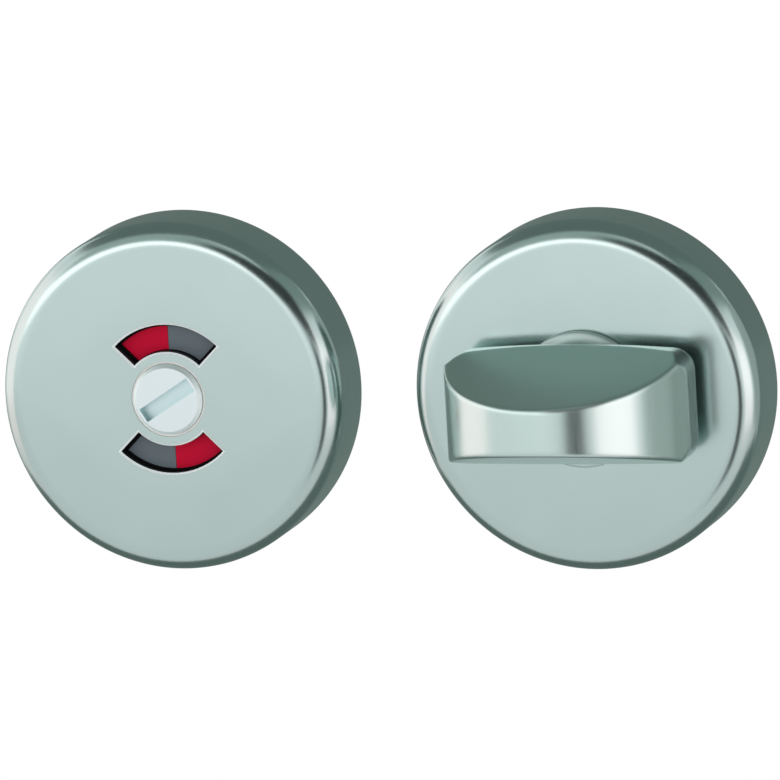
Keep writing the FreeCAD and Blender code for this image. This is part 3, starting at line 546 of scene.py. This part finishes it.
def screw_thread(sizes, tip):
    """A rod with a coarse right-hand thread, cut square inside the shank and drawn to a point at the tip."""
    core = sizes.core / 2
    rise = sizes.thread / 2 - core
    flank = (sizes.pitch - sizes.crest - sizes.root) / 2
    start = -ROD_DEPTH - 2 * sizes.pitch
    turns = math.ceil((tip - start) / sizes.pitch) + 1
    bpy.ops.mesh.primitive_plane_add(size=MM, location=(core, start, 0))
    rod = bpy.context.object
    settle(rod)
    bpy.ops.object.mode_set(mode="EDIT")
    bpy.ops.mesh.select_all(action="SELECT")
    bpy.ops.mesh.merge(type="CENTER")
    for step in ((0, sizes.root, 0), (rise, flank, 0), (0, sizes.crest, 0), (-rise, flank, 0)):
        bpy.ops.mesh.extrude_region_move(TRANSFORM_OT_translate={"value": step})
    bpy.ops.object.mode_set(mode="OBJECT")
    apply_modifier(
        rod, "SCREW", axis="Y", screw_offset=sizes.pitch, iterations=turns, steps=THREAD_STEPS,
        render_steps=THREAD_STEPS, use_merge_vertices=True, merge_threshold=WELD,
    )
    only(rod)
    bpy.ops.object.mode_set(mode="EDIT")
    bpy.ops.mesh.select_all(action="SELECT")
    bpy.ops.mesh.remove_doubles(threshold=WELD)
    for place, outward in ((-ROD_DEPTH, -1), (tip, 1)):
        bpy.ops.mesh.select_all(action="SELECT")
        bpy.ops.mesh.bisect(
            plane_co=(0, place, 0), plane_no=(0, outward, 0), use_fill=True, clear_outer=True,
            threshold=WELD,
        )
    bpy.ops.mesh.select_all(action="SELECT")
    bpy.ops.mesh.normals_make_consistent(inside=False)
    bpy.ops.object.mode_set(mode="OBJECT")
    for vertex in rod.data.vertices:
        taper = min((tip - vertex.co.y) / sizes.point + BLUNT, 1.0)
        vertex.co.x *= taper
        vertex.co.z *= taper
    return rod


def turned_blank(sizes, lower, upper):
    """A solid round blank inside a rose cover's box, with its front edge rounded."""
    radius = (upper.x - lower.x) / 2 - sizes.skin
    front = lower.y + sizes.facing
    back = upper.y + radius
    bpy.ops.mesh.primitive_cylinder_add(
        vertices=ROSE_SIDES, radius=radius, depth=back - front, rotation=(math.pi / 2, 0, 0),
        location=((lower.x + upper.x) / 2, (front + back) / 2, (lower.z + upper.z) / 2),
    )
    blank = bpy.context.object
    settle(blank)
    mesh = blank.data
    for part in (*mesh.vertices, *mesh.edges, *mesh.polygons):
        part.select = False
    for vertex in mesh.vertices:
        vertex.select = vertex.co.y < front + sizes.facing
    bpy.context.tool_settings.mesh_select_mode = (True, False, False)
    bpy.ops.object.mode_set(mode="EDIT")
    bpy.ops.mesh.bevel(offset=sizes.rim, segments=RIM_STEPS, affect="EDGES", clamp_overlap=False)
    bpy.ops.object.mode_set(mode="OBJECT")
    return blank


def ring(inside, outside, front, depth):
    """A plain ring with its axis on Y, from its front face on towards the door."""
    bpy.ops.mesh.primitive_circle_add(
        vertices=RING_SIDES, radius=outside / 2, location=(0, front, 0), rotation=(math.pi / 2, 0, 0)
    )
    obj = bpy.context.object
    settle(obj)
    bpy.ops.object.mode_set(mode="EDIT")
    bpy.ops.mesh.select_all(action="SELECT")
    bpy.ops.mesh.extrude_region_move(TRANSFORM_OT_translate={"value": (0, 0, 0)})
    bpy.ops.transform.resize(value=(inside / outside, 1, inside / outside), center_override=(0, front, 0))
    bpy.ops.mesh.select_all(action="SELECT")
    bpy.ops.mesh.extrude_region_move(TRANSFORM_OT_translate={"value": (0, depth, 0)})
    bpy.ops.mesh.select_all(action="SELECT")
    bpy.ops.mesh.normals_make_consistent(inside=False)
    bpy.ops.object.mode_set(mode="OBJECT")
    return obj


def window_plug(sizes, front, depth, side):
    """The sector that fills one window inside the shade liner's lips, above the axis for side 1, below for
    -1.
    """
    inside = sizes.window_inside + 2 * sizes.inner_lip
    outside = sizes.window_inside + 2 * sizes.window_width - 2 * sizes.outer_lip
    plug = ring(inside, outside, front, depth)
    half = sizes.window_angle / 2
    bpy.ops.object.mode_set(mode="EDIT")
    for hand in (1, -1):
        outward = Vector((hand * math.cos(half), 0, -side * math.sin(half)))
        bpy.ops.mesh.select_all(action="SELECT")
        bpy.ops.mesh.bisect(
            plane_co=-sizes.lip * outward, plane_no=outward, use_fill=True, clear_outer=True, threshold=WELD
        )
    bpy.ops.mesh.select_all(action="SELECT")
    bpy.ops.mesh.normals_make_consistent(inside=False)
    bpy.ops.object.mode_set(mode="OBJECT")
    return plug


def fit_to_rose(obj, name, material):
    """Name and finish a ring, move it to the release axis and hang it on the roses."""
    obj.name = name
    obj.location.x = RELEASE_AXIS.x
    settle(obj)
    bpy.ops.object.shade_smooth_by_angle(angle=SMOOTH_ANGLE)
    coat(obj, material)
    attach(obj, "roses")


class FinishRoses(bpy.types.Operator):
    """Give the rose covers, the under-roses and the guide bush their finishes"""

    bl_idname = "lock.finish_roses"
    bl_label = "Finish Roses"

    def execute(self, context):
        colours = context.scene.lock_colours
        grains = context.scene.lock_grains
        satin = satin_aluminium(colours, grains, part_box("outside_rose_cover")[0].y)
        dress(satin, "inside_rose_cover", "outside_rose_cover")
        nylon = moulded_plastic("grey nylon, moulded", colours.nylon, grains, roughness=0.55, contrast=0.1)
        dress(nylon, "inside_rose_base", "outside_rose_base")
        acetal = moulded_plastic(
            "white acetal, moulded", colours.acetal, grains, roughness=0.38, contrast=0.03
        )
        dress(acetal, "thumb_turn_bush")
        return {"FINISHED"}


class TurnRoseRims(bpy.types.Operator):
    """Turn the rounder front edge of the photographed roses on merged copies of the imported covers"""

    bl_idname = "lock.turn_rose_rims"
    bl_label = "Turn Rose Rims"

    def execute(self, context):
        sizes = context.scene.lock_roses
        for rose in ("inside", "outside"):
            cover = rose + "_rose_cover"
            shell = bpy.data.objects.new(rose + "_rose_shell", frame["nodes"][cover].data.copy())
            context.collection.objects.link(shell)
            only(shell)
            bpy.ops.mesh.customdata_custom_splitnormals_clear()
            bpy.ops.object.mode_set(mode="EDIT")
            bpy.ops.mesh.select_all(action="SELECT")
            bpy.ops.mesh.remove_doubles(threshold=WELD)
            bpy.ops.object.mode_set(mode="OBJECT")
            combine(shell, turned_blank(sizes, *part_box(cover)), "INTERSECT")
            only(shell)
            bpy.ops.object.shade_smooth_by_angle(angle=SMOOTH_ANGLE)
            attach(shell, "roses")
            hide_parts(cover)
        return {"FINISHED"}


class FinishThumbTurn(bpy.types.Operator):
    """Give the thumb turn its brushed finish"""

    bl_idname = "lock.finish_thumb_turn"
    bl_label = "Finish Thumb Turn"

    def execute(self, context):
        colours = context.scene.lock_colours
        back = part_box("inside_rose_cover")[0].y - NECK
        dress(brushed_aluminium(colours.grip, context.scene.lock_grains, back), "thumb_turn")
        return {"FINISHED"}


class FinishRelease(bpy.types.Operator):
    """Give the release rotor, the indicator disc and its red fields their finishes"""

    bl_idname = "lock.finish_release"
    bl_label = "Finish Release"

    def execute(self, context):
        colours = context.scene.lock_colours
        grains = context.scene.lock_grains
        dress(turned_aluminium(colours, grains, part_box("release_rotor")[0].y), "release_rotor")
        dark = moulded_plastic(
            "dark plastic, moulded", colours.disc, grains, roughness=0.5, contrast=0.06, gloss=0.2
        )
        dress(dark, "indicator_disc")
        red = moulded_plastic(
            "red plastic, moulded", colours.field, grains, roughness=0.5, contrast=0.05, gloss=0.05
        )
        dress(red, "occupied_fields")
        return {"FINISHED"}


class FinishHardware(bpy.types.Operator):
    """Give the spindle, washers, circlips and pin their steel finishes"""

    bl_idname = "lock.finish_hardware"
    bl_label = "Finish Hardware"

    def execute(self, context):
        colours = context.scene.lock_colours
        grains = context.scene.lock_grains
        zinc = zinc_steel(colours.zinc, grains)
        dress(zinc, "spindle", "thumb_turn_stop_washer", "release_stop_washer")
        dress(zinc, "inside_rose_screws", "outside_rose_screws")
        spring = spring_steel(colours.spring, grains)
        dress(spring, "spindle_pin", "thumb_turn_spring_washer", "release_spring_washer")
        dress(spring, "thumb_turn_circlip", "release_circlip")
        return {"FINISHED"}


class CutDoorScrews(bpy.types.Operator):
    """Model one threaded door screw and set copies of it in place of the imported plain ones"""

    bl_idname = "lock.cut_door_screws"
    bl_label = "Cut Door Screws"

    def execute(self, context):
        sizes = context.scene.lock_screws
        lower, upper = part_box("inside_rose_screws")
        screw = screw_body(sizes, lower.y)
        combine(screw, screw_thread(sizes, upper.y), "UNION")
        only(screw)
        bpy.ops.object.shade_smooth_by_angle(angle=SMOOTH_ANGLE)
        coat(screw, frame["nodes"]["inside_rose_screws"].data.materials[0])
        for rose in ("inside", "outside"):
            lower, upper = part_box(rose + "_rose_screws")
            copies = []
            for height in (upper.z - sizes.head / 2, lower.z + sizes.head / 2):
                copy = screw.copy()
                copy.data = screw.data.copy()
                context.collection.objects.link(copy)
                copy.location = ((lower.x + upper.x) / 2, 0, height)
                settle(copy)
                copies.append(copy)
            only(*copies)
            bpy.ops.object.join()
            pair = copies[0]
            pair.name = rose + "_door_screws"
            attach(pair, "roses")
            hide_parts(rose + "_rose_screws")
        bpy.data.objects.remove(screw)
        return {"FINISHED"}


class FitReleaseSleeve(bpy.types.Operator):
    """Model the plain sleeve that guides the release head in its rose"""

    bl_idname = "lock.fit_release_sleeve"
    bl_label = "Fit Release Sleeve"

    def execute(self, context):
        sizes = context.scene.lock_seals
        outside = sizes.bore - 2 * sizes.fit
        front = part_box("outside_rose_cover")[0].y + sizes.drop
        sleeve = ring(outside - 2 * sizes.wall, outside, front, sizes.length)
        acetal = frame["nodes"]["thumb_turn_bush"].data.materials[0]
        fit_to_rose(sleeve, "release_sleeve", acetal)
        return {"FINISHED"}


class FitWindowShadeLiner(bpy.types.Operator):
    """Model a thin black liner between the windows and the indicator disc; its lips paint shade along the
    window edges
    """

    bl_idname = "lock.fit_window_seal"
    bl_label = "Fit Window Shade Liner"

    def execute(self, context):
        sizes = context.scene.lock_seals
        back = min(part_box(name)[0].y for name in ("indicator_disc", "occupied_fields")) - sizes.gap
        # Painted shade: this black sheet and its lips over the window edges stand in for the shade in the
        # recesses
        shade_liner = ring(sizes.inside, sizes.outside, back - sizes.sheet, sizes.sheet)
        for side in (1, -1):
            plug = window_plug(sizes, back - 2 * sizes.sheet, 3 * sizes.sheet, side)
            combine(shade_liner, plug, "DIFFERENCE")
        colours = context.scene.lock_colours
        grains = context.scene.lock_grains
        foam = moulded_plastic(
            "black liner, painted window shade", colours.shade_liner, grains, roughness=0.8, contrast=0.2, gloss=0.1
        )
        fit_to_rose(shade_liner, "window_shade_liner", foam)
        return {"FINISHED"}


def aim(obj, direction, distance, target, roll=0.0):
    """Stand an object off a target in a direction, with its -Z axis towards the target."""
    obj.location = target + distance * direction
    turn = (-direction).to_track_quat("-Z", "Y")
    obj.rotation_mode = "QUATERNION"
    obj.rotation_quaternion = turn @ Quaternion((0, 0, 1), roll)


def heading(azimuth, elevation):
    """Unit vector at degrees to the right of straight in front and above level."""
    across = math.radians(azimuth)
    up = math.radians(elevation)
    return Vector((math.sin(across) * math.cos(up), -math.cos(across) * math.cos(up), math.sin(up)))


# Soft boxes that add to the white surroundings, as soft_box takes them, in degrees and metres
SOFT_BOXES = (
    ("front_top_box", -34, 13, 1.2, 1.3, 0.36, 1.0, "#fff0f0"),
    ("right_box", 62, -8, 1.3, 0.95, 1.0, 0.8, "#ffdce2"),
    ("left_box", -90, 0, 1.3, 1.3, 1.3, 0.5, "#ffcccc"),
    ("front_box", -4, 2, 1.4, 0.5, 0.45, 0.25, "#fff0f6"),
)

# Cards that only the metal sees, as flag takes them; a nearer one hides those behind it
FLAGS = (
    ("ceiling_flag", 180, 84, 0.9, 2.2, 1.3, 0.22, "#e0f6ee"),
    ("back_top_flag", 180, 27, 1.0, 1.6, 1.15, 0.23, "#e0f6ee"),
    ("back_low_flag", 180, -22, 0.6, 1.3, 0.45, 0.26, "#e0f6ee"),
    ("under_flag", 180, -72, 0.42, 1.4, 0.5, 0.2, "#e0f6ee"),
    ("right_flag", 117, 0, 1.2, 1.15, 1.2, 0.5, "#f2faf6"),
    ("right_top_flag", 88, 48, 1.1, 1.5, 0.75, 0.35, "#e0f6ee"),
    ("front_top_flag", -22, 41, 1.2, 1.5, 0.8, 0.5, "#f0fff9"),
    ("front_right_flag", 22, 26, 1.1, 1.04, 0.72, 0.04, "#e0f6ee"),
    ("front_strip", 25, -13, 0.39, 0.114, 0.25, 0.04, "#e0f6ee"),
    ("front_low_flag", -17, -38, 0.42, 1.0, 0.43, 0.8, "#ffffff"),
)


def soft_box(name, azimuth, elevation, distance, width, height, radiance, hex_colour, target):
    """A rectangular lamp of a given radiance that faces the lock and stays out of the picture."""
    bpy.ops.object.light_add(type="AREA")
    lamp = bpy.context.object
    lamp.name = name
    lamp.data.shape = "RECTANGLE"
    lamp.data.size = width
    lamp.data.size_y = height
    lamp.data.energy = radiance * math.pi * width * height
    lamp.data.color = linear(hex_colour)[:3]
    lamp.visible_camera = False
    aim(lamp, heading(azimuth, elevation), distance, target)
    return lamp


def flag(name, azimuth, elevation, distance, width, height, radiance, hex_colour, target):
    """A card of a given radiance that shows in the metal alone, as a darker side of a studio does."""
    bpy.ops.mesh.primitive_plane_add(size=1)
    card = bpy.context.object
    card.name = name
    card.scale = (width, height, 1)
    aim(card, heading(azimuth, elevation), distance, target)
    material, tree = new_material(name)
    glow = add_node(tree, "Emission", {"Color": linear(hex_colour), "Strength": radiance})
    add_node(tree, "OutputMaterial", {"Surface": glow.outputs[0]})
    card.data.materials.append(material)
    card.visible_camera = False
    card.visible_diffuse = False
    card.visible_shadow = False
    return card


def lay_floor(target, drop):
    """A wide sheet of matt paper below the lock, pale and faintly cloudy."""
    bpy.ops.mesh.primitive_plane_add(size=1, location=target - Vector((0, FLOOR_FORWARD, drop)))
    floor = bpy.context.object
    floor.name = "floor"
    floor.scale = (*FLOOR_SIZE, 1)
    material, tree = new_material("pale paper floor")
    place = add_node(tree, "TexCoord").outputs["Object"]
    fibre = add_node(tree, "TexNoise", {"Vector": place, "Scale": FLOOR_CLOUDS, "Detail": 2.0})
    tone = add_node(tree, "Mix", {
        FACTOR: fibre.outputs[0], COLOUR_A: linear("#f1f2f1"), COLOUR_B: linear("#f6f6f5"),
    }, data_type="RGBA")
    paper = add_node(tree, "BsdfPrincipled", {"Base Color": tone.outputs[MIXED], "Roughness": 0.9})
    add_node(tree, "OutputMaterial", {"Surface": paper.outputs[0]})
    floor.data.materials.append(material)
    return floor


def surround(scene):
    """White surroundings that light the lock a little less than they show."""
    world = bpy.data.worlds.new("white studio")
    scene.world = world
    world.use_nodes = True
    tree = world.node_tree
    tree.nodes.clear()
    rays = add_node(tree, "LightPath").outputs
    seen = add_node(
        tree, "Math", {0: rays["Is Camera Ray"], 1: rays["Is Glossy Ray"]}, operation="MAXIMUM"
    )
    seen = add_node(
        tree, "Math", {0: seen.outputs[0], 1: rays["Is Transmission Ray"]}, operation="MAXIMUM"
    )
    level = add_node(
        tree, "MapRange", {"Value": seen.outputs[0], "To Min": SKY_LIGHT, "To Max": SKY_SEEN}
    )
    sky = add_node(tree, "Background", {"Color": (1, 1, 1, 1), "Strength": level.outputs[0]})
    add_node(tree, "OutputWorld", {"Surface": sky.outputs[0]})


def stand_camera(scene, sizes, target):
    """The camera, a long way off with a long lens."""
    bpy.ops.object.camera_add()
    camera = bpy.context.object
    camera.data.lens = sizes.lens
    direction = heading(math.degrees(sizes.azimuth), math.degrees(sizes.elevation))
    aim(camera, direction, sizes.distance, target, sizes.roll)
    scene.camera = camera


class BuildStudio(bpy.types.Operator):
    """Set the floor, the white surroundings, the lamps and the camera"""

    bl_idname = "lock.build_studio"
    bl_label = "Build Studio"

    def execute(self, context):
        scene = context.scene
        sizes = scene.lock_studio
        target = Vector(sizes.target)
        floor = lay_floor(target, sizes.floor_drop)
        for row in SOFT_BOXES:
            soft_box(*row, target)
        for row in FLAGS:
            flag(*row, target)
        surround(scene)
        stand_camera(scene, sizes, target)
        scene.view_settings.view_transform = "Standard"
        return {"FINISHED"}


class LockPanel(bpy.types.Panel):
    """Colours, sizes and steps of the lock"""

    bl_idname = "VIEW3D_PT_lock"
    bl_label = "Thumb Turn Lock"
    bl_space_type = "VIEW_3D"
    bl_region_type = "UI"
    bl_category = "Lock"

    def draw(self, context):
        scene = context.scene
        for name in GROUPS:
            group = getattr(scene, name)
            box = self.layout.box()
            for field in group.__annotations__:
                box.prop(group, field)
        for operator in OPERATORS:
            self.layout.operator(operator.bl_idname)


GROUPS = {
    "lock_colours": LockColours,
    "lock_grains": LockGrains,
    "lock_roses": RoseSizes,
    "lock_screws": ScrewSizes,
    "lock_seals": SleeveAndLinerSizes,
    "lock_studio": StudioSizes,
}
OPERATORS = (
    FinishRoses, TurnRoseRims, FinishThumbTurn, FinishRelease, FinishHardware, CutDoorScrews,
    FitReleaseSleeve, FitWindowShadeLiner, BuildStudio,
)
CLASSES = (*GROUPS.values(), *OPERATORS, LockPanel)


def register():
    """Register the classes and hang the property groups on the scene."""
    for cls in CLASSES:
        bpy.utils.register_class(cls)
    for name, group in GROUPS.items():
        setattr(bpy.types.Scene, name, PointerProperty(type=group))


def unregister():
    """Undo register."""
    for name in GROUPS:
        delattr(bpy.types.Scene, name)
    for cls in reversed(CLASSES):
        bpy.utils.unregister_class(cls)


def main():
    """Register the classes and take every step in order."""
    register()
    bpy.ops.lock.finish_roses()
    bpy.ops.lock.turn_rose_rims()
    bpy.ops.lock.finish_thumb_turn()
    bpy.ops.lock.finish_release()
    bpy.ops.lock.finish_hardware()
    bpy.ops.lock.cut_door_screws()
    bpy.ops.lock.fit_release_sleeve()
    bpy.ops.lock.fit_window_seal()
    bpy.ops.lock.build_studio()


if __name__ == "__main__":
    main()
